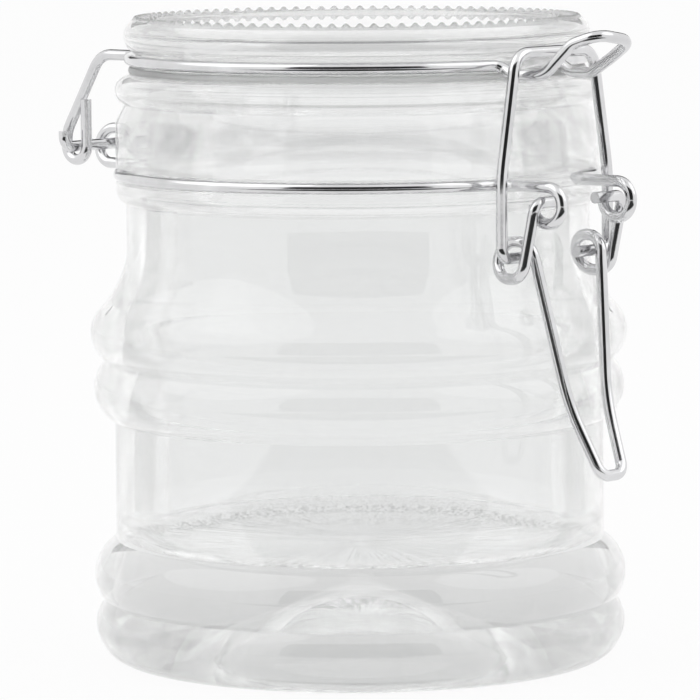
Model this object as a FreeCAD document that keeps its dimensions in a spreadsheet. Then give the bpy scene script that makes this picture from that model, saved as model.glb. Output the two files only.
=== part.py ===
import FreeCAD, Part
import math
import os
import Sketcher

Vector = FreeCAD.Vector
doc = FreeCAD.newDocument("clip_top_jar")

# Driving dimensions in millimetres and degrees. Rises are heights above the step below.
SIZES = [
    ("wall_radius", 45.8, "straight glass wall, outside"),
    ("glass_wall", 3.2, "thickness of the straight wall"),
    ("bearing_inner", 33.0, "inner edge of the ring the jar stands on"),
    ("bearing_outer", 43.0, "outer edge of the ring the jar stands on"),
    ("push_up", 11.0, "rise of the base centre over the bearing ring"),
    ("base_thickness", 10.5, "glass between base centre and the inside floor"),
    ("floor_corner", 7.0, "size of the rounded corner between floor and wall"),
    ("heel_bulge", 2.8, "heel over the wall radius"),
    ("heel_rise", 3.3, "bearing ring to heel"),
    ("heel_mid_inset", 2.0, "middle of the heel rounding inside the heel"),
    ("heel_mid_rise", 0.95, "middle of the heel rounding above the bearing ring"),
    ("foot_bead_bulge", 3.9, "lowest bead over the wall radius"),
    ("foot_bead_rise", 3.5, "heel to lowest bead"),
    ("base_groove_bulge", 2.2, "groove between the base beads over the wall radius"),
    ("base_groove_rise", 4.5, "lowest bead to groove"),
    ("base_bead_bulge", 4.1, "second base bead over the wall radius"),
    ("base_bead_rise", 5.1, "groove to second base bead"),
    ("wall_foot_rise", 6.5, "second base bead to the straight wall"),
    ("wall_height", 22.2, "straight wall"),
    ("lower_bead_bulge", 3.9, "lower waist bead over the wall radius"),
    ("lower_bead_rise", 6.1, "straight wall to lower waist bead"),
    ("waist_groove_bulge", 1.6, "waist groove over the wall radius"),
    ("waist_groove_rise", 5.2, "lower waist bead to groove"),
    ("upper_bead_bulge", 4.4, "upper waist bead over the wall radius"),
    ("upper_bead_rise", 4.5, "waist groove to upper waist bead"),
    ("flare_bulge", 2.6, "start of the concave shoulder over the wall radius"),
    ("flare_rise", 5.1, "upper waist bead to the concave shoulder"),
    ("shoulder_rise", 10.0, "height of the concave shoulder"),
    ("shoulder_mid_step", 1.8, "middle of the concave shoulder over the neck"),
    ("shoulder_mid_rise", 4.7, "middle of the concave shoulder above its start"),
    ("neck_inset", 2.5, "neck inside the wall radius"),
    ("neck_height", 9.6, "straight neck"),
    ("neck_wall", 3.7, "thickness of the neck wall"),
    ("collar_step", 1.9, "collar over the neck"),
    ("collar_bead_rise", 2.4, "neck to the bead under the wire groove"),
    ("groove_lip_rise", 1.75, "bead to the lower lip of the wire groove"),
    ("groove_half_width", 1.45, "half the mouth of the wire groove"),
    ("groove_floor_step", 0.1, "floor of the wire groove over the neck"),
    ("collar_height", 8.2, "straight collar above the wire groove"),
    ("under_rim_step", 0.4, "hollow under the rim over the neck"),
    ("under_rim_rise", 3.3, "collar to the hollow under the rim"),
    ("rim_bead_step", 1.9, "rim bead over the neck"),
    ("rim_bead_rise", 3.4, "hollow to rim bead"),
    ("rim_top_rise", 2.3, "rim bead to the flat top of the rim"),
    ("rim_outer_inset", 0.7, "outer edge of the flat rim inside the neck radius"),
    ("rim_width", 2.3, "width of the flat rim"),
    ("mouth_lip", 1.1, "rounding between rim and mouth"),
    ("seal_thickness", 1.2, "sealing ring, pressed"),
    ("seal_inset", 0.2, "sealing ring inside the edge of the flat rim"),
    ("seal_lip", 2.0, "sealing ring over the mouth, past the flat rim"),
    ("seal_gap", 0.1, "gap between sealing ring and rim"),
    ("lid_flange_step", 0.2, "lid flange over the neck radius"),
    ("lid_neck_inset", 2.0, "lid wire seat inside the neck radius"),
    ("lid_neck_height", 2.8, "seat of the lid wire"),
    ("lid_flange_height", 6.0, "thickness of the lid flange"),
    ("lid_edge_round", 1.6, "rounding of the lid flange"),
    ("lid_recess", 0.7, "depth of the shallow dish in the lid"),
    ("bead_row_inset", 2.4, "row of small beads inside the lid flange radius"),
    ("bead_row_width", 1.2, "width of the row of small beads"),
    ("bead_row_rise", 0.55, "height of the row of small beads"),
    ("plug_clearance", 3.0, "lid plug inside the mouth"),
    ("plug_depth", 3.5, "lid plug below the lid seat"),
    ("plug_wall", 4.6, "wall of the lid plug"),
    ("plug_taper", 0.6, "taper of the lid plug"),
    ("plug_corner", 0.8, "corner of the lid plug"),
    ("lid_hollow", 1.5, "hollow under the lid above the lid seat"),
    ("wire_diameter", 2.1, "steel wire"),
    ("wire_fit", 0.1, "gap between a wire and the glass that seats it"),
    ("eye_radius", 3.3, "middle line of an eye bent in the wire"),
    ("strand_gap", 0.45, "gap between neighbouring strands of wire"),
    ("pivot_reach", 8.5, "lever pivot outside the collar"),
    ("pivot_drop", 2.75, "lever pivot below the band"),
    ("pivot_play_out", 0.8, "band eye centre outside the pivot"),
    ("band_eye_side", 9.8, "band eye from the middle plane"),
    ("stub_length", 8.0, "pivot stub inside the lever arm"),
    ("foot_inset", 5.7, "bail foot inside the lever pivot"),
    ("foot_drop", 10.2, "bail foot below the lever pivot"),
    ("foot_play_in", 0.8, "lever eye centre inside the foot"),
    ("foot_play_down", 0.45, "lever eye centre below the foot"),
    ("bail_foot_length", 9.0, "bail foot inside the bail leg"),
    ("bail_rise", 36.75, "bail crossbar above the bail foot"),
    ("bail_top_half", 10.8, "half the width of the bail at its crossbar"),
    ("bail_straight", 14.5, "straight lower length of a bail leg"),
    ("bail_leg_bend", 30.0, "bend of a bail leg above its straight length"),
    ("bail_bend", 4.0, "corner of the bail"),
    ("handle_drop", 49.5, "lever tip below the lever pivot"),
    ("handle_reach", 7.6, "lever tip outside the lever pivot"),
    ("handle_waist_drop", 36.5, "waist of the lever below the lever pivot"),
    ("handle_waist_reach", 1.8, "waist of the lever outside the lever pivot"),
    ("handle_waist_half", 5.4, "half the width of the lever at its waist"),
    ("handle_waist_bend", 40.0, "bend of the lever at its waist"),
    ("handle_tip_half", 3.1, "half the width of the lever at its tip"),
    ("handle_tip_bend", 2.6, "corner of the lever tip"),
    ("nose_reach", 18.6, "nose of the lid wire outside the lid flange"),
    ("nose_root_half", 8.2, "half the width of the nose at the lid"),
    ("nose_tip_half", 4.6, "half the width of the nose at its tip"),
    ("nose_dip", 1.7, "dip of the nose below the lid wire"),
    ("nose_dip_reach", 7.5, "end of the dip outside the lid flange"),
    ("nose_rise", 5.2, "nose tip above the lid wire"),
    ("nose_twist", 1.4, "near side of the nose over the far side, halved"),
    ("nose_shelf_reach", 13.2, "top of the nose ramp outside the lid flange"),
    ("nose_shelf_rise", 2.7, "top of the nose ramp above the lid wire"),
    ("nose_dip_start", 1.6, "start of the dip outside the lid flange"),
    ("hinge_reach", 9.8, "hinge pin outside the collar"),
    ("hinge_rise", 3.7, "hinge pin above the band"),
    ("hinge_eye_side", 8.5, "hinge eye of the band from the middle plane"),
    ("hook_side", 19.0, "hook of the lid wire from the middle plane"),
    ("hook_gap", 0.5, "gap between hook and hinge pin"),
    ("hook_tail", 9.0, "upright tail of a hook above the hinge pin"),
    ("arm_reach", 3.2, "bend of a lid arm outside the collar"),
    ("arm_bend", 5.0, "bend of a lid arm"),
    ("pin_half_length", 22.4, "hinge pin from the middle plane to its bent end"),
    ("pin_end_rise", 3.0, "bent end of the hinge pin"),
    ("tight_bend", 2.0, "tightest bend of the wire on its middle line"),
    ("easy_bend", 6.0, "gentle bend of the wire"),
    ("ring_exit", 4.4, "straight run where a wire leaves its groove"),
]

sheet = doc.addObject("Spreadsheet::Sheet", "sizes")
for row, (alias, value, note) in enumerate(SIZES, start=1):
    sheet.set("A%d" % row, note)
    sheet.set("B%d" % row, str(value))
    sheet.setAlias("B%d" % row, alias)
doc.recompute()


def size(text):
    # Adds up named sizes written as "one + two - three*0.5".
    total = 0.0
    sign = 1.0
    for word in text.split():
        if word in "+-":
            sign = -1.0 if word == "-" else 1.0
        elif word != "0":
            name, _, share = word.partition("*")
            total += sign * float(getattr(sheet, name)) * float(share or 1)
    return total


def formula(text):
    return " ".join(word if word in "+-" else "sizes." + word for word in text.split())


# Heights on the jar, from the table up.
heel_z = "heel_rise"
foot_bead_z = heel_z + " + foot_bead_rise"
base_groove_z = foot_bead_z + " + base_groove_rise"
base_bead_z = base_groove_z + " + base_bead_rise"
wall_foot_z = base_bead_z + " + wall_foot_rise"
wall_top_z = wall_foot_z + " + wall_height"
lower_bead_z = wall_top_z + " + lower_bead_rise"
waist_groove_z = lower_bead_z + " + waist_groove_rise"
upper_bead_z = waist_groove_z + " + upper_bead_rise"
flare_z = upper_bead_z + " + flare_rise"
neck_foot_z = flare_z + " + shoulder_rise"
neck_top_z = neck_foot_z + " + neck_height"
collar_bead_z = neck_top_z + " + collar_bead_rise"
groove_lip_z = collar_bead_z + " + groove_lip_rise"
band_z = groove_lip_z + " + groove_half_width"
collar_foot_z = band_z + " + groove_half_width"
collar_top_z = collar_foot_z + " + collar_height"
under_rim_z = collar_top_z + " + under_rim_rise"
rim_bead_z = under_rim_z + " + rim_bead_rise"
rim_z = rim_bead_z + " + rim_top_rise"
floor_z = "push_up + base_thickness"

# Heights on the sealing ring and the lid.
seal_foot_z = rim_z + " + seal_gap"
seat_z = seal_foot_z + " + seal_thickness"
lid_wire_z = seat_z + " + lid_neck_height*0.5"
flange_z = seat_z + " + lid_neck_height"
lid_top_z = flange_z + " + lid_flange_height"
plug_foot_z = seat_z + " - plug_depth"
lid_hollow_z = seat_z + " + lid_hollow"

# Radii that several pieces share.
bore = "wall_radius - glass_wall"
neck = "wall_radius - neck_inset"
neck_bore = neck + " - neck_wall"
collar = neck + " + collar_step"
groove_floor = neck + " + groove_floor_step"
rim_outer = neck + " - rim_outer_inset"
rim_inner = rim_outer + " - rim_width"
mouth = rim_inner + " - mouth_lip"
lid_flange = neck + " + lid_flange_step"
lid_neck = neck + " - lid_neck_inset"
plug = mouth + " - plug_clearance"
bead_row = lid_flange + " - bead_row_inset"
quarter_mid = "*0.2929"


def origin_part(body, role):
    return [part for part in body.Origin.OriginFeatures if part.Role == role][0]


def pin_point(sketch, geometry, end, place):
    # Ties a point of the sketch to a radius and a height made of named sizes.
    for kind, level, text in (("DistanceX", "Vertical", place[0]), ("DistanceY", "Horizontal", place[1])):
        if text == "0":
            sketch.addConstraint(Sketcher.Constraint(level, -1, 1, geometry, end))
        else:
            index = sketch.addConstraint(Sketcher.Constraint(kind, -1, 1, geometry, end, size(text)))
            sketch.setExpression("Constraints[%d]" % index, formula(text))


def spot(place):
    return Vector(size(place[0]), size(place[1]), 0)


def turned_body(name, outline):
    # Spins a closed outline about Z. Each step leads to its last place, straight or,
    # where it has two places, by an arc through the first of them.
    body = doc.addObject("PartDesign::Body", name)
    body.Label = name
    sketch = body.newObject("Sketcher::SketchObject", name + "_outline")
    sketch.AttachmentSupport = (origin_part(body, "XZ_Plane"), [""])
    sketch.MapMode = "FlatFace"
    start = outline[-1][-1]
    for step in outline:
        end = step[-1]
        if len(step) == 2:
            edge = sketch.addGeometry(Part.Arc(spot(start), spot(step[0]), spot(end)), False)
            forward = sketch.getPoint(edge, 2).distanceToPoint(spot(end)) < 1e-6
            first, last = (1, 2) if forward else (2, 1)
            crown = sketch.addGeometry(Part.Point(spot(step[0])), True)
            pin_point(sketch, crown, 1, step[0])
            sketch.addConstraint(Sketcher.Constraint("PointOnObject", crown, 1, edge))
        else:
            edge = sketch.addGeometry(Part.LineSegment(spot(start), spot(end)), False)
            first, last = 1, 2
        pin_point(sketch, edge, first, start)
        pin_point(sketch, edge, last, end)
        start = end
    turned = body.newObject("PartDesign::Revolution", name + "_turned")
    turned.Profile = sketch
    turned.ReferenceAxis = (origin_part(body, "Z_Axis"), [""])
    turned.Angle = 360.0
    return body


def rounded(points, bend):
    # Straight runs through the points, joined by tangent arcs.
    # A point written as (point, bend) has a bend of its own.
    places = [item[0] if isinstance(item, tuple) else item for item in points]
    bends = [item[1] if isinstance(item, tuple) else bend for item in points]
    last = len(places) - 1
    edges = []
    here = places[0]
    for index in range(1, last):
        corner = places[index]
        back = places[index - 1] - corner
        ahead = places[index + 1] - corner
        half_turn = (math.pi - back.getAngle(ahead)) / 2
        room_back = back.Length * (0.95 if index == 1 else 0.49)
        room_ahead = ahead.Length * (0.95 if index == last - 1 else 0.49)
        setback = min(bends[index] * math.tan(half_turn), room_back, room_ahead)
        back.normalize()
        ahead.normalize()
        radius = setback / math.tan(half_turn)
        inward = (back + ahead).normalize()
        middle = corner + inward * (radius / math.cos(half_turn) - radius)
        enter = corner + back * setback
        leave = corner + ahead * setback
        edges.append(Part.LineSegment(here, enter).toShape())
        edges.append(Part.Arc(enter, middle, leave).toShape())
        here = leave
    edges.append(Part.LineSegment(here, places[last]).toShape())
    return edges


def bent_wire(name, edges):
    # One steel wire of round section along a path of runs and arcs.
    path = doc.addObject("Part::Feature", name + "_path")
    path.Shape = Part.Wire(Part.__sortEdges__(edges))
    start = path.Shape.OrderedVertexes[0].Point
    first = path.Shape.OrderedEdges[0]
    ends = [vertex.Point for vertex in first.Vertexes]
    far_end = max(ends, key=start.distanceToPoint)
    section = doc.addObject("Part::Circle", name + "_section")
    section.setExpression("Radius", "sizes.wire_diameter / 2")
    section.Placement = FreeCAD.Placement(start, FreeCAD.Rotation(Vector(0, 0, 1), far_end - start))
    piece = doc.addObject("Part::Sweep", name)
    piece.Label = name
    piece.Sections = [section]
    piece.Spine = (path, ["Edge%d" % (number + 1) for number in range(len(path.Shape.Edges))])
    piece.Solid = True
    piece.Frenet = False
    return piece


def mirrored(edges):
    return [edge.mirror(Vector(0, 0, 0), Vector(0, 1, 0)) for edge in edges]


def ring_point(radius, angle, height):
    return Vector(radius * math.cos(angle), radius * math.sin(angle), height)


def ring_arc(radius, start, end, height):
    middle = (start + end) / 2
    return Part.Arc(*[ring_point(radius, angle, height) for angle in (start, middle, end)]).toShape()


def exit_angle(radius, side):
    # Angle from X at which a straight run along the ring's tangent ends at that side.
    run = size("ring_exit")
    return math.atan2(run, radius) + math.asin(side / math.hypot(radius, run))


wire = size("wire_diameter")
pitch = wire + size("strand_gap")
eye = size("eye_radius")
tight = size("tight_bend")
easy = size("easy_bend")

# Where the latch and the hinge turn.
band_height = size(band_z)
pivot_x = size(collar + " + pivot_reach")
pivot_z = band_height - size("pivot_drop")
foot_x = pivot_x - size("foot_inset")
foot_z = pivot_z - size("foot_drop")
hinge_x = -size(collar + " + hinge_reach")
hinge_z = band_height + size("hinge_rise")
arm_side = size("band_eye_side") + pitch
bail_side = arm_side + pitch

jar_body = turned_body("jar_body", [
    (("bearing_inner*0.5", "push_up*0.75"), ("bearing_inner", "0")),
    (("bearing_outer", "0"),),
    (("wall_radius + heel_bulge - heel_mid_inset", "heel_mid_rise"), ("wall_radius + heel_bulge", heel_z)),
    (("wall_radius + foot_bead_bulge", foot_bead_z), ("wall_radius + base_groove_bulge", base_groove_z)),
    (("wall_radius + base_bead_bulge", base_bead_z), ("wall_radius", wall_foot_z)),
    (("wall_radius", wall_top_z),),
    (("wall_radius + lower_bead_bulge", lower_bead_z), ("wall_radius + waist_groove_bulge", waist_groove_z)),
    (("wall_radius + upper_bead_bulge", upper_bead_z), ("wall_radius + flare_bulge", flare_z)),
    ((neck + " + shoulder_mid_step", flare_z + " + shoulder_mid_rise"), (neck, neck_foot_z)),
    ((neck, neck_top_z),),
    ((collar, collar_bead_z), (collar + " - wire_fit", groove_lip_z)),
    ((groove_floor, band_z), (collar + " - wire_fit", collar_foot_z)),
    ((collar, collar_foot_z + " + wire_fit"),),
    ((collar, collar_top_z),),
    ((neck + " + under_rim_step", under_rim_z),),
    ((neck + " + rim_bead_step", rim_bead_z), (rim_outer, rim_z)),
    ((rim_inner, rim_z),),
    ((mouth + " + mouth_lip" + quarter_mid, rim_z + " - mouth_lip" + quarter_mid), (mouth, rim_z + " - mouth_lip")),
    ((neck_bore, neck_foot_z),),
    ((neck + " + shoulder_mid_step - neck_wall", flare_z + " + shoulder_mid_rise - glass_wall*0.3"),
     ("wall_radius + flare_bulge - neck_wall*1.2", flare_z + " - neck_wall*0.8")),
    (("wall_radius + waist_groove_bulge - glass_wall", waist_groove_z), (bore, wall_top_z)),
    ((bore, floor_z + " + floor_corner"),),
    ((bore + " - floor_corner" + quarter_mid, floor_z + " + floor_corner" + quarter_mid),
     (bore + " - floor_corner", floor_z)),
    (("0", floor_z),),
    (("0", "push_up"),),
])

lid_glass = turned_body("lid_glass", [
    (("0", lid_top_z + " - lid_recess"),),
    ((bead_row + " - bead_row_width", lid_top_z + " - lid_recess"),),
    ((bead_row + " - bead_row_width*0.5", lid_top_z),),
    ((bead_row, lid_top_z + " + bead_row_rise"), (bead_row + " + bead_row_width*0.5", lid_top_z)),
    ((lid_flange + " - lid_edge_round", lid_top_z),),
    ((lid_flange, flange_z + " + lid_flange_height*0.5"), (lid_flange + " - lid_edge_round", flange_z)),
    ((lid_neck, flange_z),),
    ((lid_neck, seat_z),),
    ((plug + " + plug_taper", seat_z),),
    ((plug, plug_foot_z + " + plug_corner"),),
    ((plug + " - plug_corner", plug_foot_z),),
    ((plug + " - plug_wall", plug_foot_z),),
    ((plug + " - plug_wall - plug_corner", lid_hollow_z),),
    (("0", lid_hollow_z),),
])

seal_ring = turned_body("seal_ring", [
    ((rim_outer + " - seal_inset", seal_foot_z),),
    ((rim_outer + " - seal_inset + seal_thickness*0.2", seal_foot_z + " + seal_thickness*0.5"),
     (rim_outer + " - seal_inset", seat_z)),
    ((rim_inner + " - seal_lip", seat_z),),
    ((rim_inner + " - seal_lip - seal_thickness*0.2", seal_foot_z + " + seal_thickness*0.5"),
     (rim_inner + " - seal_lip", seal_foot_z)),
])


def band_half():
    # From the eye at the latch, round the near half of the groove, to the middle of the hinge.
    radius = size(groove_floor + " + wire_fit") + wire / 2
    eye_side = -size("band_eye_side")
    latch = -exit_angle(radius, -eye_side)
    eye_x = pivot_x + size("pivot_play_out")
    low = band_height - 2 * eye
    latch_eye = [
        Vector(eye_x - eye, eye_side, band_height - eye),
        Vector(eye_x - eye, eye_side, low),
        Vector(eye_x + eye, eye_side, low),
        Vector(eye_x + eye, eye_side, band_height),
        (Vector(ring_exit_x(radius, latch), eye_side, band_height), size("ring_exit")),
        ring_point(radius, latch, band_height),
    ]
    outer_side = -size("hinge_eye_side") - pitch / 2
    inner_side = outer_side + pitch
    hinge = exit_angle(radius, -outer_side) - math.pi
    high = band_height + 2 * eye
    bridge_z = band_height + eye / 2
    hinge_eye = [
        ring_point(radius, hinge, band_height),
        (Vector(ring_exit_x(radius, hinge), outer_side, band_height), size("ring_exit")),
        Vector(hinge_x - eye, outer_side, band_height),
        Vector(hinge_x - eye, outer_side + pitch / 3, high),
        Vector(hinge_x + eye, inner_side - pitch / 3, high),
        (Vector(hinge_x + eye, inner_side, bridge_z), tight),
        Vector(hinge_x + eye, 0, bridge_z),
    ]
    groove = ring_arc(radius, latch, hinge, band_height)
    return rounded(latch_eye, eye) + [groove] + rounded(hinge_eye, eye)


def ring_exit_x(radius, angle):
    # X at the end of the straight run that leaves a ring at that angle.
    outward = 1 if math.cos(angle) > 0 else -1
    return radius * math.cos(angle) + outward * size("ring_exit") * abs(math.sin(angle))


half_band = band_half()
neck_band = bent_wire("neck_band", half_band + mirrored(half_band))

pin_half = size("pin_half_length")
pin_top = hinge_z + size("pin_end_rise")
hinge_pin = bent_wire("hinge_pin", rounded([
    Vector(hinge_x, -pin_half, pin_top),
    Vector(hinge_x, -pin_half, hinge_z),
    Vector(hinge_x, pin_half, hinge_z),
    Vector(hinge_x, pin_half, pin_top),
], tight))


def lid_wire_half(side, twist):
    # From the middle of the nose, round half of the lid, to the tail of a hinge hook.
    radius = size(lid_neck + " + wire_fit") + wire / 2
    height = size(lid_wire_z)
    flange = size(lid_flange)
    root = size("nose_root_half")
    tip = size("nose_tip_half")
    tip_x = flange + size("nose_reach")
    tip_z = height + size("nose_rise")
    dip_z = height - size("nose_dip")
    shelf_x = flange + size("nose_shelf_reach")
    dip_x = flange + size("nose_dip_reach")
    slope = (root - tip) / size("nose_reach")
    latch = exit_angle(radius, root)
    nose = [
        Vector(tip_x, 0, tip_z),
        (Vector(tip_x, side * tip, tip_z + twist / 2), tip),
        Vector(shelf_x, side * (root - slope * (shelf_x - flange)), height + size("nose_shelf_rise") + twist),
        Vector(dip_x, side * (root - slope * (dip_x - flange)), dip_z),
        Vector(flange + size("nose_dip_start"), side * root, dip_z),
        Vector(ring_exit_x(radius, latch), side * root, height),
        ring_point(radius, side * latch, height),
    ]
    hook_side = side * size("hook_side")
    hook = wire + size("hook_gap")
    hinge = math.pi - exit_angle(radius, size("hook_side"))
    arm = [
        ring_point(radius, side * hinge, height),
        Vector(ring_exit_x(radius, hinge), hook_side, height),
        Vector(-size(collar + " + arm_reach"), hook_side, height),
        (Vector(hinge_x - hook, hook_side, hinge_z + hook), easy),
        (Vector(hinge_x - hook, hook_side, hinge_z - hook), hook),
        (Vector(hinge_x + hook, hook_side, hinge_z - hook), hook),
        Vector(hinge_x + hook, hook_side, hinge_z + size("hook_tail")),
    ]
    groove = ring_arc(radius, side * latch, side * hinge, height)
    return rounded(nose, size("ring_exit")) + [groove] + rounded(arm, size("arm_bend"))


twist = size("nose_twist")
lid_wire = bent_wire("lid_wire", lid_wire_half(-1, twist) + lid_wire_half(1, -twist))


def lever_half():
    # From the pivot stub, round the eye for the bail foot, to the middle of the handle tip.
    eye_x = foot_x - size("foot_play_in")
    eye_z = foot_z - size("foot_play_down")
    leg_side = arm_side - pitch
    tip_x = pivot_x + size("handle_reach")
    tip_z = pivot_z - size("handle_drop")
    waist = Vector(pivot_x + size("handle_waist_reach"), -size("handle_waist_half"),
                   pivot_z - size("handle_waist_drop"))
    return rounded([
        Vector(pivot_x, size("stub_length") - arm_side, pivot_z),
        (Vector(pivot_x, -arm_side, pivot_z), tight),
        Vector(eye_x + eye, -arm_side, eye_z - eye),
        Vector(eye_x - eye, -arm_side + pitch / 4, eye_z - eye),
        Vector(eye_x - eye, -leg_side - pitch / 6, eye_z + eye),
        Vector(eye_x + eye, -leg_side, eye_z + eye),
        (waist, size("handle_waist_bend")),
        (Vector(tip_x, -size("handle_tip_half"), tip_z), size("handle_tip_bend")),
        Vector(tip_x, 0, tip_z),
    ], eye)


half_lever = lever_half()
latch_lever = bent_wire("latch_lever", half_lever + mirrored(half_lever))


def bail_half():
    # From the foot in the lever eye, up the leg, to the middle of the crossbar.
    top = foot_z + size("bail_rise")
    return rounded([
        Vector(foot_x, size("bail_foot_length") - bail_side, foot_z),
        (Vector(foot_x, -bail_side, foot_z), tight),
        (Vector(foot_x, -bail_side, foot_z + size("bail_straight")), size("bail_leg_bend")),
        Vector(foot_x, -size("bail_top_half"), top),
        Vector(foot_x, 0, top),
    ], size("bail_bend"))


half_bail = bail_half()
latch_bail = bent_wire("latch_bail", half_bail + mirrored(half_bail))

doc.recompute()
for item in doc.Objects:
    if "Invalid" in item.State or "Error" in item.State:
        raise SystemExit("failed: " + item.Label)

pieces = [jar_body, lid_glass, seal_ring, neck_band, hinge_pin, lid_wire, latch_lever, latch_bail]
for piece in pieces:
    if piece.Shape.isNull() or not piece.Shape.isValid() or len(piece.Shape.Solids) != 1:
        raise SystemExit("bad solid: " + piece.Label)

os.makedirs("parts", exist_ok=True)
for piece in pieces:
    piece.Shape.exportStep("parts/" + piece.Label + ".step")
    print("%s %.2f mm3" % (piece.Label, piece.Shape.Volume))
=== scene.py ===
import math

import bpy
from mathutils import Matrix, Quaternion, Vector


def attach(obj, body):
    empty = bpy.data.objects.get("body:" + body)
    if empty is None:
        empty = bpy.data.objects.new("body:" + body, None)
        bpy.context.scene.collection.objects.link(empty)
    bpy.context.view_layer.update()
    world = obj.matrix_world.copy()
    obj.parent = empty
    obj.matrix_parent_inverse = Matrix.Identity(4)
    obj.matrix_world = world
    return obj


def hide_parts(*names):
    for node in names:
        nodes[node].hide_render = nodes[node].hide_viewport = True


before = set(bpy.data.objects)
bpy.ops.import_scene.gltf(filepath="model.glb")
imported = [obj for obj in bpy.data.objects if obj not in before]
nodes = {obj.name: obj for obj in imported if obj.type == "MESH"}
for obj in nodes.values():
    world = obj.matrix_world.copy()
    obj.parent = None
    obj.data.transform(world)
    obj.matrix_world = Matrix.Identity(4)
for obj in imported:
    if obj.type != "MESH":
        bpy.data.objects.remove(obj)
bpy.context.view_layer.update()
mm = 0.001  # outlines below are in millimetres, the scene is in metres
seamGap = 0.002  # vertices closer than this are one
nearness = 0.05  # a vertex this close to a place is on it


def deselectAll():
    if bpy.context.object and bpy.context.object.mode != "OBJECT":
        bpy.ops.object.mode_set(mode="OBJECT")
    bpy.ops.object.select_all(action="DESELECT")


def selectWhere(piece, inside):  # picks vertices by their place, leaves edit mode open
    bpy.ops.mesh.select_mode(type="VERT")
    bpy.ops.mesh.select_all(action="DESELECT")
    bpy.ops.object.mode_set(mode="OBJECT")
    for vertex in piece.data.vertices:
        vertex.select = inside(vertex.co / mm)
    bpy.ops.object.mode_set(mode="EDIT")


def arcPlaces(start, via, end, count):  # places after start on the circle through all three
    (ax, ay), (bx, by), (cx, cy) = start, via, end
    twice = 2 * (ax * (by - cy) + bx * (cy - ay) + cx * (ay - by))
    sa, sb, sc = ax * ax + ay * ay, bx * bx + by * by, cx * cx + cy * cy
    midX = (sa * (by - cy) + sb * (cy - ay) + sc * (ay - by)) / twice
    midY = (sa * (cx - bx) + sb * (ax - cx) + sc * (bx - ax)) / twice
    radius = math.hypot(ax - midX, ay - midY)
    fromAngle = math.atan2(ay - midY, ax - midX)
    turn = 1 if twice > 0 else -1
    sweep = (turn * (math.atan2(cy - midY, cx - midX) - fromAngle)) % math.tau
    angles = [fromAngle + turn * sweep * (i + 1) / count for i in range(count)]
    return [(midX + radius * math.cos(a), midY + radius * math.sin(a)) for a in angles]


def drawOutline(name, start, outline, arcSteps):  # lays an outline in the XZ plane, vertex by vertex
    deselectAll()
    bpy.ops.mesh.primitive_plane_add(size=mm)
    piece = bpy.context.object
    piece.name = piece.data.name = name
    bpy.ops.object.mode_set(mode="EDIT")
    bpy.ops.mesh.select_all(action="SELECT")
    bpy.ops.mesh.merge(type="CENTER")
    bpy.ops.transform.translate(value=(start[0] * mm, 0, start[1] * mm))
    here = start
    for step in outline:
        places = arcPlaces(here, step[0], step[1], arcSteps) if len(step) == 2 else [step[0]]
        for place in places:
            move = ((place[0] - here[0]) * mm, 0, (place[1] - here[1]) * mm)
            bpy.ops.mesh.extrude_vertices_move(TRANSFORM_OT_translate={"value": move})
            here = place
    return piece


def spinRound(steps, angle=math.tau, copies=False):
    bpy.ops.mesh.select_all(action="SELECT")
    bpy.ops.mesh.spin(steps=steps, angle=angle, center=(0, 0, 0), axis=(0, 0, 1), dupli=copies)
    bpy.ops.mesh.select_all(action="SELECT")
    bpy.ops.mesh.remove_doubles(threshold=seamGap * mm)


def closeUp(piece, sharpest):  # outward faces, smooth but for edges sharper than that
    bpy.ops.mesh.select_all(action="SELECT")
    bpy.ops.mesh.normals_make_consistent(inside=False)
    bpy.ops.object.mode_set(mode="OBJECT")
    deselectAll()
    piece.select_set(True)
    bpy.context.view_layer.objects.active = piece
    bpy.ops.object.shade_smooth_by_angle(angle=math.radians(sharpest))
    print(piece.name, len(piece.data.polygons), "faces")


def newMaterial(name):
    material = bpy.data.materials.new(name)
    material.use_nodes = True
    return material, material.node_tree.nodes, material.node_tree.links


def noiseOn(tree, scale, detail):
    coords = tree.nodes.new("ShaderNodeTexCoord")
    noise = tree.nodes.new("ShaderNodeTexNoise")
    noise.inputs["Scale"].default_value = scale
    noise.inputs["Detail"].default_value = detail
    tree.links.new(coords.outputs["Object"], noise.inputs["Vector"])
    return noise.outputs["Fac"]


def spread(tree, source, low, high, fromLow=0, fromHigh=1):  # maps a value from one range onto another
    ramp = tree.nodes.new("ShaderNodeMapRange")
    ramp.inputs["From Min"].default_value = fromLow
    ramp.inputs["From Max"].default_value = fromHigh
    ramp.inputs["To Min"].default_value = low
    ramp.inputs["To Max"].default_value = high
    tree.links.new(source, ramp.inputs["Value"])
    return ramp.outputs["Result"]


def bumpFrom(tree, source, strength, distance):
    bump = tree.nodes.new("ShaderNodeBump")
    bump.inputs["Strength"].default_value = strength
    bump.inputs["Distance"].default_value = distance
    tree.links.new(source, bump.inputs["Height"])
    return bump.outputs["Normal"]


def axisPlace(tree):  # how far a point lies from the jar's axis, and how high
    coords = tree.nodes.new("ShaderNodeTexCoord")
    flat = tree.nodes.new("ShaderNodeVectorMath")
    flat.operation = "MULTIPLY"
    flat.inputs[1].default_value = (1, 1, 0)
    reach = tree.nodes.new("ShaderNodeVectorMath")
    reach.operation = "LENGTH"
    split = tree.nodes.new("ShaderNodeSeparateXYZ")
    tree.links.new(coords.outputs["Object"], flat.inputs[0])
    tree.links.new(flat.outputs["Vector"], reach.inputs[0])
    tree.links.new(coords.outputs["Object"], split.inputs["Vector"])
    return reach.outputs["Value"], split.outputs["Z"]


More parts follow.
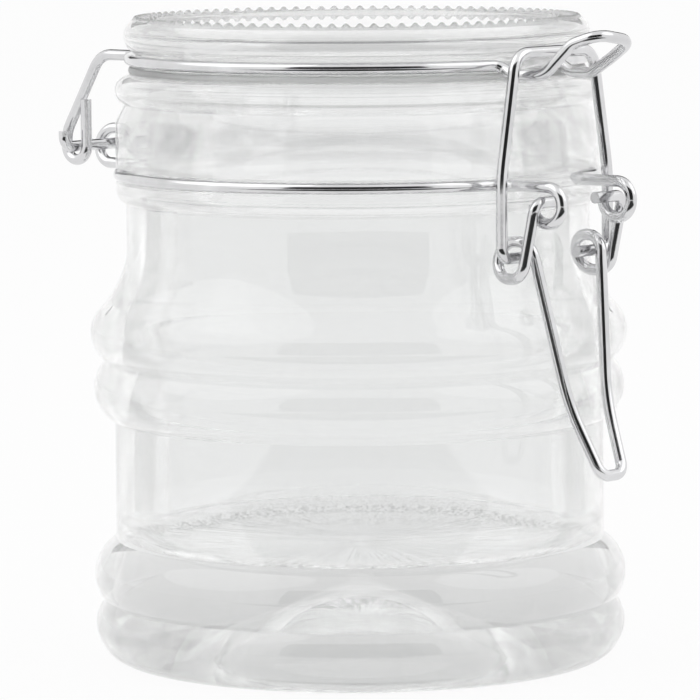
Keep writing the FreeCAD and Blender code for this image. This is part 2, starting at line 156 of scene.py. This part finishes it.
def ringMask(tree, band):  # 1 on a ring of that radius and height about the jar's axis, broken up by noise
    reach, height = axisPlace(tree)
    grain = noiseOn(tree, band["grain"], band["grainDetail"])
    mask = spread(tree, grain, 0, 1, band["grainFrom"], band["grainTo"])
    for source, (low, high) in ((reach, band["radius"]), (height, band["height"])):
        soft = (high - low) * band["soft"]
        for edge, inward in ((low, soft), (high, -soft)):
            fade = spread(tree, source, 0, 1, edge * mm, (edge + inward) * mm)
            product = tree.nodes.new("ShaderNodeMath")
            product.operation = "MULTIPLY"
            tree.links.new(mask, product.inputs[0])
            tree.links.new(fade, product.inputs[1])
            mask = product.outputs[0]
    return mask


glassHaze = {"scale": 240, "detail": 4, "roughness": (0.0, 0.03)}


def pressedGlass(name, finish, waves):  # clear glass, slightly uneven as it left the mould
    material, parts, links = newMaterial(name)
    shader = parts["Principled BSDF"]
    shader.inputs["Base Color"].default_value = finish["tint"]
    shader.inputs["Transmission Weight"].default_value = 1
    shader.inputs["IOR"].default_value = finish["bend"]
    shader.inputs["Alpha"].default_value = finish["alpha"]
    shader.inputs["Coat Weight"].default_value = 1
    shader.inputs["Coat IOR"].default_value = finish["shine"]
    tree = material.node_tree
    ripple = noiseOn(tree, waves["scale"], waves["detail"])
    haze = noiseOn(tree, glassHaze["scale"], glassHaze["detail"])
    links.new(bumpFrom(tree, ripple, waves["strength"], waves["depth"]), shader.inputs["Normal"])
    links.new(spread(tree, haze, *glassHaze["roughness"]), shader.inputs["Roughness"])
    return material


def blendTint(material, share, first, second):  # a tint that passes from the first to the second
    parts, links = material.node_tree.nodes, material.node_tree.links
    colours = parts.new("ShaderNodeMix")
    colours.data_type = "RGBA"
    links.new(share, colours.inputs["Factor"])
    for tint, side in ((first, "A"), (second, "B")):
        if isinstance(tint, tuple):
            colours.inputs[side].default_value = tint
        else:
            links.new(tint, colours.inputs[side])
    links.new(colours.outputs["Result"], parts["Principled BSDF"].inputs["Base Color"])
    return colours.outputs["Result"]


def paintFootShade(material, finish):  # painted shade: the solid foot's outside is painted darker towards the table, where its shade falls
    tree = material.node_tree
    reach, height = axisPlace(tree)
    low, high = finish["shell"]
    depth = spread(tree, height, 1, 0, 0, finish["footTop"] * mm)
    outside = spread(tree, reach, 0, 1, low * mm, high * mm)
    shell = blendTint(material, depth, finish["shellShadeTint"], finish["footShadeTint"])
    return blendTint(material, outside, finish["tint"], shell)


def roughen(material, finish, tint):  # a ring of pressed grains, greyer and less clear
    tree = material.node_tree
    grains = ringMask(tree, finish["grainBand"])
    blendTint(material, grains, tint, finish["grainTint"])
    clear = spread(tree, grains, 1, finish["grainClear"])
    tree.links.new(clear, tree.nodes["Principled BSDF"].inputs["Transmission Weight"])


def mottle(material, source, finish):  # a tone between dull and bright
    parts, links = material.node_tree.nodes, material.node_tree.links
    colours = parts.new("ShaderNodeValToRGB")
    colours.color_ramp.elements[0].color = finish["dull"]
    colours.color_ramp.elements[1].color = finish["bright"]
    links.new(source, colours.inputs["Fac"])
    links.new(colours.outputs["Color"], parts["Principled BSDF"].inputs["Base Color"])


def brightWire(name, finish):  # drawn steel with faint scuffs
    material, parts, links = newMaterial(name)
    shader = parts["Principled BSDF"]
    shader.inputs["Metallic"].default_value = 1
    tree = material.node_tree
    mottle(material, noiseOn(tree, *finish["tone"]), finish)
    scuff = noiseOn(tree, *finish["scuff"])
    links.new(spread(tree, scuff, *finish["roughness"]), shader.inputs["Roughness"])
    links.new(bumpFrom(tree, scuff, *finish["scuffBump"]), shader.inputs["Normal"])
    return material


def clearSilicone(name, finish):
    material, parts, links = newMaterial(name)
    shader = parts["Principled BSDF"]
    shader.inputs["Transmission Weight"].default_value = finish["clear"]
    shader.inputs["IOR"].default_value = finish["bend"]
    tree = material.node_tree
    cloud = noiseOn(tree, *finish["cloud"])
    mottle(material, cloud, finish)
    links.new(spread(tree, cloud, *finish["roughness"]), shader.inputs["Roughness"])
    links.new(bumpFrom(tree, cloud, *finish["cloudBump"]), shader.inputs["Normal"])
    return material


def dress(piece, material):
    piece.data.materials.clear()
    piece.data.materials.append(material)


jarGlass = {
    "start": (0, 11.0),
    "outline": [  # radius, height; a step of two places is an arc through the first
        ((16.5, 8.25), (33.0, 0.0)),
        ((43.0, 0.0),),
        ((46.6, 0.95), (48.6, 3.3)),
        ((49.7, 6.8), (48.0, 11.3)),
        ((49.9, 16.4), (45.8, 22.9)),
        ((45.8, 34.0),),
        ((45.8, 45.1),),
        ((49.7, 51.2), (47.4, 56.4)),
        ((50.2, 60.9), (48.4, 66.0)),
        ((45.1, 70.7), (43.3, 76.0)),
        ((43.3, 85.6),),
        ((45.2, 88.0), (45.1, 89.75)),
        ((43.4, 91.2), (45.1, 92.65)),
        ((45.2, 92.75),),
        ((45.2, 100.85),),
        ((43.7, 104.15),),
        ((45.2, 107.55), (42.6, 109.85)),
        ((40.3, 109.85),),
        ((39.52, 109.53), (39.2, 108.75)),
        ((39.48, 85.6),),
        ((39.6, 76.0),),
        ((41.4, 69.74), (43.96, 63.04)),
        ((44.2, 56.4), (42.6, 45.1)),
        ((42.6, 28.5),),
        ((40.55, 23.55), (35.6, 21.5)),
        ((34.8, 21.5),),
        ((0.0, 21.5),),
    ],
    "arcSteps": 9,
    "steps": 360,
    "floor": 21.5,
    "stippleInner": 34.8,
    "stippleOuter": 39.2,
    "stippleTop": 23.0,
    "stippleCuts": 2,
    "stippleDepth": 0.16,
    "stippleEven": 0.3,
    "stippleOutward": 0.6,
    "stippleSeed": 7,
    "sharpest": 35,
    "footTop": 23.0,
    "bore": 42.7,
    "cornerTop": 28.6,
    "collarFoot": 85.5,
    "waves": {"scale": 38, "detail": 2, "strength": 0.25, "depth": 0.0002},
    "wall": {
        "bend": 1.17,
        "alpha": 0.75,
        "tint": (0.86, 0.866, 0.864, 1),
        "shine": 1.65,
    },
    "collar": {
        "bend": 1.45,
        "alpha": 0.55,
        "tint": (0.88, 0.886, 0.884, 1),
        "shine": 1.5,
    },
    "foot": {
        "bend": 1.08,
        "alpha": 0.75,
        "tint": (0.96, 0.966, 0.964, 1),
        "shine": 1.8,
        "shell": (42.8, 43.8),
        # painted shade: the foot's outside tints, greyer at the top and darkest next to the table
        "shellShadeTint": (0.76, 0.766, 0.764, 1),
        "footShadeTint": (0.34, 0.345, 0.343, 1),
        "footTop": 21.5,
        "grainTint": (0.34, 0.34, 0.34, 1),
        "grainClear": 0.3,
        "grainBand": {
            "radius": (34.6, 39.4), "height": (21.2, 23.4), "soft": 0.2,
            "grain": 1100, "grainDetail": 2, "grainFrom": 0.44, "grainTo": 0.6,
        },
    },
}


def makeJar(form):
    jar = drawOutline("jarGlass", form["start"], form["outline"], form["arcSteps"])
    spinRound(form["steps"])

    def onStipple(place):
        reach = math.hypot(place.x, place.y)
        onFloor = form["floor"] - nearness < place.z < form["stippleTop"]
        return onFloor and form["stippleInner"] - nearness < reach < form["stippleOuter"]

    selectWhere(jar, onStipple)
    bpy.ops.mesh.subdivide(number_cuts=form["stippleCuts"])
    bpy.ops.transform.vertex_random(
        offset=form["stippleDepth"] * mm, uniform=form["stippleEven"],
        normal=form["stippleOutward"], seed=form["stippleSeed"])
    closeUp(jar, form["sharpest"])
    dress(jar, pressedGlass("jarWallGlass", form["wall"], form["waves"]))
    foot = pressedGlass("jarFootGlass", form["foot"], form["waves"])
    # the foot's tint carries painted shade that deepens towards the table
    roughen(foot, form["foot"], paintFootShade(foot, form["foot"]))
    collar = pressedGlass("jarCollarGlass", form["collar"], form["waves"])

    def inFoot(place):
        inCorner = math.hypot(place.x, place.y) < form["bore"] and place.z < form["cornerTop"]
        return inCorner or place.z < form["footTop"]

    def inCollar(place):
        return place.z > form["collarFoot"]

    bpy.ops.object.mode_set(mode="EDIT")
    for glass, inside in ((foot, inFoot), (collar, inCollar)):
        jar.data.materials.append(glass)
        selectWhere(jar, inside)
        jar.active_material_index = len(jar.data.materials) - 1
        bpy.ops.object.material_slot_assign()
    bpy.ops.object.mode_set(mode="OBJECT")
    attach(jar, "jar")
    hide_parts("jar_body")


lidGlass = {
    "start": (0, 119.25),
    "beads": 103,
    "beadColumns": 12,
    "beadRow": 41.1,
    "top": 119.95,
    "beadHeight": 0.62,
    "beadReach": 0.68,
    "outline": [
        ((20.0, 119.25),),
        ((39.9, 119.25),),
        ((40.2, 119.65),),
        ((40.5, 119.9),),
        ((40.7, 119.95),), ((40.9, 119.95),), ((41.1, 119.95),), ((41.3, 119.95),), ((41.5, 119.95),),
        ((41.9, 119.95),),
        ((43.5, 116.95), (41.9, 113.95)),
        ((41.3, 113.95),),
        ((41.3, 111.15),),
        ((36.8, 111.15),),
        ((36.2, 108.45),),
        ((35.4, 107.65),),
        ((31.6, 107.65),),
        ((30.8, 112.65),),
        ((15.0, 112.65),),
        ((0.0, 112.65),),
    ],
    "arcSteps": 12,
    "sharpest": 35,
    "waves": {"scale": 30, "detail": 2, "strength": 0.2, "depth": 0.0002},
    "glass": {
        "bend": 1.28,
        "alpha": 0.7,
        "tint": (0.72, 0.726, 0.724, 1),
        "shine": 1.65,
        "grainTint": (0.4, 0.405, 0.405, 1),
        "grainClear": 0.9,
        "grainBand": {
            "radius": (39.9, 42.3), "height": (120.0, 122.0), "soft": 0.2,
            "grain": 500, "grainDetail": 2, "grainFrom": 0.0, "grainTo": 0.3,
        },
    },
}


def makeLid(form):
    lid = drawOutline("lidGlass", form["start"], form["outline"], form["arcSteps"])
    wedge = math.tau / form["beads"]
    spinRound(form["beadColumns"], wedge)

    def onBead(place):  # the one vertex in the middle of the wedge's bead
        onRow = abs(math.hypot(place.x, place.y) - form["beadRow"]) < nearness
        onTop = place.z > form["top"] - nearness
        aside = abs(abs(math.atan2(place.y, place.x)) - wedge / 2)
        return onRow and onTop and aside < wedge / form["beadColumns"] / 2

    selectWhere(lid, onBead)
    bpy.ops.transform.translate(
        value=(0, 0, form["beadHeight"] * mm), use_proportional_edit=True,
        proportional_edit_falloff="SPHERE", proportional_size=form["beadReach"] * mm,
        use_proportional_connected=True)
    spinRound(form["beads"] - 1, wedge * (form["beads"] - 1), copies=True)
    closeUp(lid, form["sharpest"])
    glass = pressedGlass("lidPressedGlass", form["glass"], form["waves"])
    roughen(glass, form["glass"], form["glass"]["tint"])
    dress(lid, glass)
    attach(lid, "lid")
    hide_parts("lid_glass")


sealRing = {
    "start": (38.3, 109.95),
    "outline": [
        ((42.4, 109.95),),
        ((42.64, 110.55), (42.4, 111.12)),
        ((38.3, 111.12),),
        ((38.06, 110.55), (38.3, 109.95)),
    ],
    "arcSteps": 6,
    "steps": 180,
    "sharpest": 40,
    "silicone": {
        "clear": 0.75,
        "bend": 1.41,
        "dull": (0.82, 0.83, 0.82, 1),
        "bright": (0.93, 0.93, 0.93, 1),
        "cloud": (90, 3),  # scale and detail of a noise
        "cloudBump": (0.05, 0.0001),  # strength and depth
        "roughness": (0.25, 0.4),
    },
}


def makeSeal(form):
    seal = drawOutline("sealRing", form["start"], form["outline"], form["arcSteps"])
    spinRound(form["steps"])
    closeUp(seal, form["sharpest"])
    dress(seal, clearSilicone("sealSilicone", form["silicone"]))
    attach(seal, "lid")
    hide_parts("seal_ring")


makeJar(jarGlass)
makeLid(lidGlass)
makeSeal(sealRing)

drawnSteel = {
    "dull": (0.58, 0.58, 0.59, 1),
    "bright": (0.82, 0.82, 0.83, 1),
    "tone": (180, 3),  # scale and detail of a noise
    "scuff": (1400, 5),
    "scuffBump": (0.08, 0.00005),  # strength and depth
    "roughness": (0.06, 0.2),
}
wire = brightWire("brightDrawnWire", drawnSteel)
for name in ("neck_band", "hinge_pin", "lid_wire", "latch_lever", "latch_bail"):
    dress(nodes[name], wire)
print("wires dressed")

studio = {
    "floorSize": 6.0,
    "floorDrop": 0.0002,
    "floorRoughness": 0.8,
    "floorTone": 0.9,
    "floorGlow": 0.94,
    "fill": 0.85,
    "flagTone": 0.015,
    "flagDistance": 2.6,
    "flagHeight": 2.4,
    "flags": ((42, 3.6, 0.0), (222, 2.4, 0.6)),  # degrees round the jar from -Y towards +X, width, foot
    "clearAfter": 0.5,  # passes through glass
    "apronTurn": 42,
    "apronDistance": 0.5,
    "apronSize": (0.5, 0.7),
    "apronLift": 0.002,
    "lampAim": (0, 0, 0.06),
    "lamps": (  # name, place, size, power
        ("keyLamp", (-0.5, -0.7, 1.0), 1.4, 3),
        ("rimLamp", (0.8, 0.5, 0.9), 1.2, 2),
    ),
}


def seenRays(parts, links):  # 1 for what the camera sees, straight, mirrored or through glass
    path = parts.new("ShaderNodeLightPath")
    share = path.outputs["Is Camera Ray"]
    for kind in ("Is Glossy Ray", "Is Transmission Ray"):
        either = parts.new("ShaderNodeMath")
        either.operation = "MAXIMUM"
        links.new(share, either.inputs[0])
        links.new(path.outputs[kind], either.inputs[1])
        share = either.outputs[0]
    return share


def mixShaders(parts, links, share, first, second, target):
    mix = parts.new("ShaderNodeMixShader")
    links.new(share, mix.inputs["Fac"])
    links.new(first.outputs[0], mix.inputs[1])
    links.new(second.outputs[0], mix.inputs[2])
    links.new(mix.outputs[0], target)


def makeFloor(form):
    deselectAll()
    bpy.ops.mesh.primitive_plane_add(size=form["floorSize"], location=(0, 0, -form["floorDrop"]))
    floor = bpy.context.object
    floor.name = "floor"
    material, parts, links = newMaterial("paleFloor")
    shader = parts["Principled BSDF"]
    shader.inputs["Base Color"].default_value = (form["floorTone"],) * 3 + (1,)
    shader.inputs["Roughness"].default_value = form["floorRoughness"]
    glow = parts.new("ShaderNodeEmission")
    share = parts.new("ShaderNodeMath")
    share.operation = "MULTIPLY"
    share.inputs[1].default_value = form["floorGlow"]
    links.new(seenRays(parts, links), share.inputs[0])
    mixShaders(parts, links, share.outputs[0], shader, glow, parts["Material Output"].inputs["Surface"])
    dress(floor, material)
    print("floor laid")


def makeWorld(form):
    world = bpy.data.worlds.new("studio")
    bpy.context.scene.world = world
    world.use_nodes = True
    parts, links = world.node_tree.nodes, world.node_tree.links
    parts.clear()
    white = parts.new("ShaderNodeBackground")
    white.inputs["Color"].default_value = (1, 1, 1, 1)
    fill = parts.new("ShaderNodeBackground")
    fill.inputs["Strength"].default_value = form["fill"]
    out = parts.new("ShaderNodeOutputWorld")
    mixShaders(parts, links, seenRays(parts, links), fill, white, out.inputs["Surface"])
    print("world lit")


def makeCard(material, place, turns, size):
    deselectAll()
    bpy.ops.mesh.primitive_plane_add(size=1, location=place, rotation=turns)
    card = bpy.context.object
    card.name = "flag"
    card.dimensions = size
    bpy.ops.object.transform_apply(location=False, rotation=False, scale=True)
    card.visible_camera = False
    card.visible_transmission = False
    card.visible_diffuse = False
    card.visible_shadow = False
    dress(card, material)


def roundTheJar(turn, distance):  # a place on the floor, and the angle that faces the jar from there
    angle = math.radians(turn - 90)
    return Vector((math.cos(angle), math.sin(angle), 0)) * distance, angle + math.pi / 2


def makeFlags(form):  # dark cards that bright surfaces mirror, clear to light that has been through glass
    material, parts, links = newMaterial("darkCard")
    shader = parts["Principled BSDF"]
    shader.inputs["Base Color"].default_value = (form["flagTone"],) * 3 + (1,)
    shader.inputs["Roughness"].default_value = 1
    path = parts.new("ShaderNodeLightPath")
    fromGlass = parts.new("ShaderNodeMath")
    fromGlass.operation = "GREATER_THAN"
    fromGlass.inputs[1].default_value = form["clearAfter"]
    clear = parts.new("ShaderNodeBsdfTransparent")
    links.new(path.outputs["Transmission Depth"], fromGlass.inputs[0])
    mixShaders(parts, links, fromGlass.outputs[0], shader, clear, parts["Material Output"].inputs["Surface"])
    for turn, width, foot in form["flags"]:
        place, facing = roundTheJar(turn, form["flagDistance"])
        place.z = foot + form["flagHeight"] / 2
        makeCard(material, place, (math.pi / 2, 0, facing), (width, form["flagHeight"], 0))
    place, facing = roundTheJar(form["apronTurn"], form["apronDistance"])
    place.z = form["apronLift"]
    makeCard(material, place, (0, 0, facing), form["apronSize"] + (0,))
    print("cards set")


def makeLamps(form):
    for name, place, size, power in form["lamps"]:
        lamp = bpy.data.lights.new(name, "AREA")
        lamp.shape = "DISK"
        lamp.size = size
        lamp.energy = power
        holder = bpy.data.objects.new(name, lamp)
        bpy.context.scene.collection.objects.link(holder)
        holder.location = place
        aim = Vector(form["lampAim"]) - Vector(place)
        holder.rotation_euler = aim.to_track_quat("-Z", "Y").to_euler()
    print("lamps hung")


makeFloor(studio)
makeWorld(studio)
makeFlags(studio)
makeLamps(studio)

camera = {
    "azimuth": 42.0,
    "distance": 1.0,
    "height": 0.161,
    "aimHeight": 0.0577,
    "aimAside": -0.00167,
    "lens": 275.8,
    "sensor": 36,
    "nearest": 0.01,
    "roll": 0.4,
}


def makeCamera(form):
    turn = math.radians(form["azimuth"])
    right = Vector((math.cos(turn), math.sin(turn), 0))
    place = Vector((math.sin(turn), -math.cos(turn), 0)) * form["distance"]
    place.z = form["height"]
    aim = right * form["aimAside"] + Vector((0, 0, form["aimHeight"]))
    lens = bpy.data.cameras.new("camera")
    lens.lens = form["lens"]
    lens.sensor_width = form["sensor"]
    lens.clip_start = form["nearest"]
    holder = bpy.data.objects.new("camera", lens)
    bpy.context.scene.collection.objects.link(holder)
    look = (aim - place).to_track_quat("-Z", "Y")
    holder.rotation_euler = (look @ Quaternion((0, 0, 1), math.radians(-form["roll"]))).to_euler()
    holder.location = place
    bpy.context.scene.camera = holder
    print("camera set")


makeCamera(camera)
bpy.context.scene.view_settings.view_transform = "Standard"
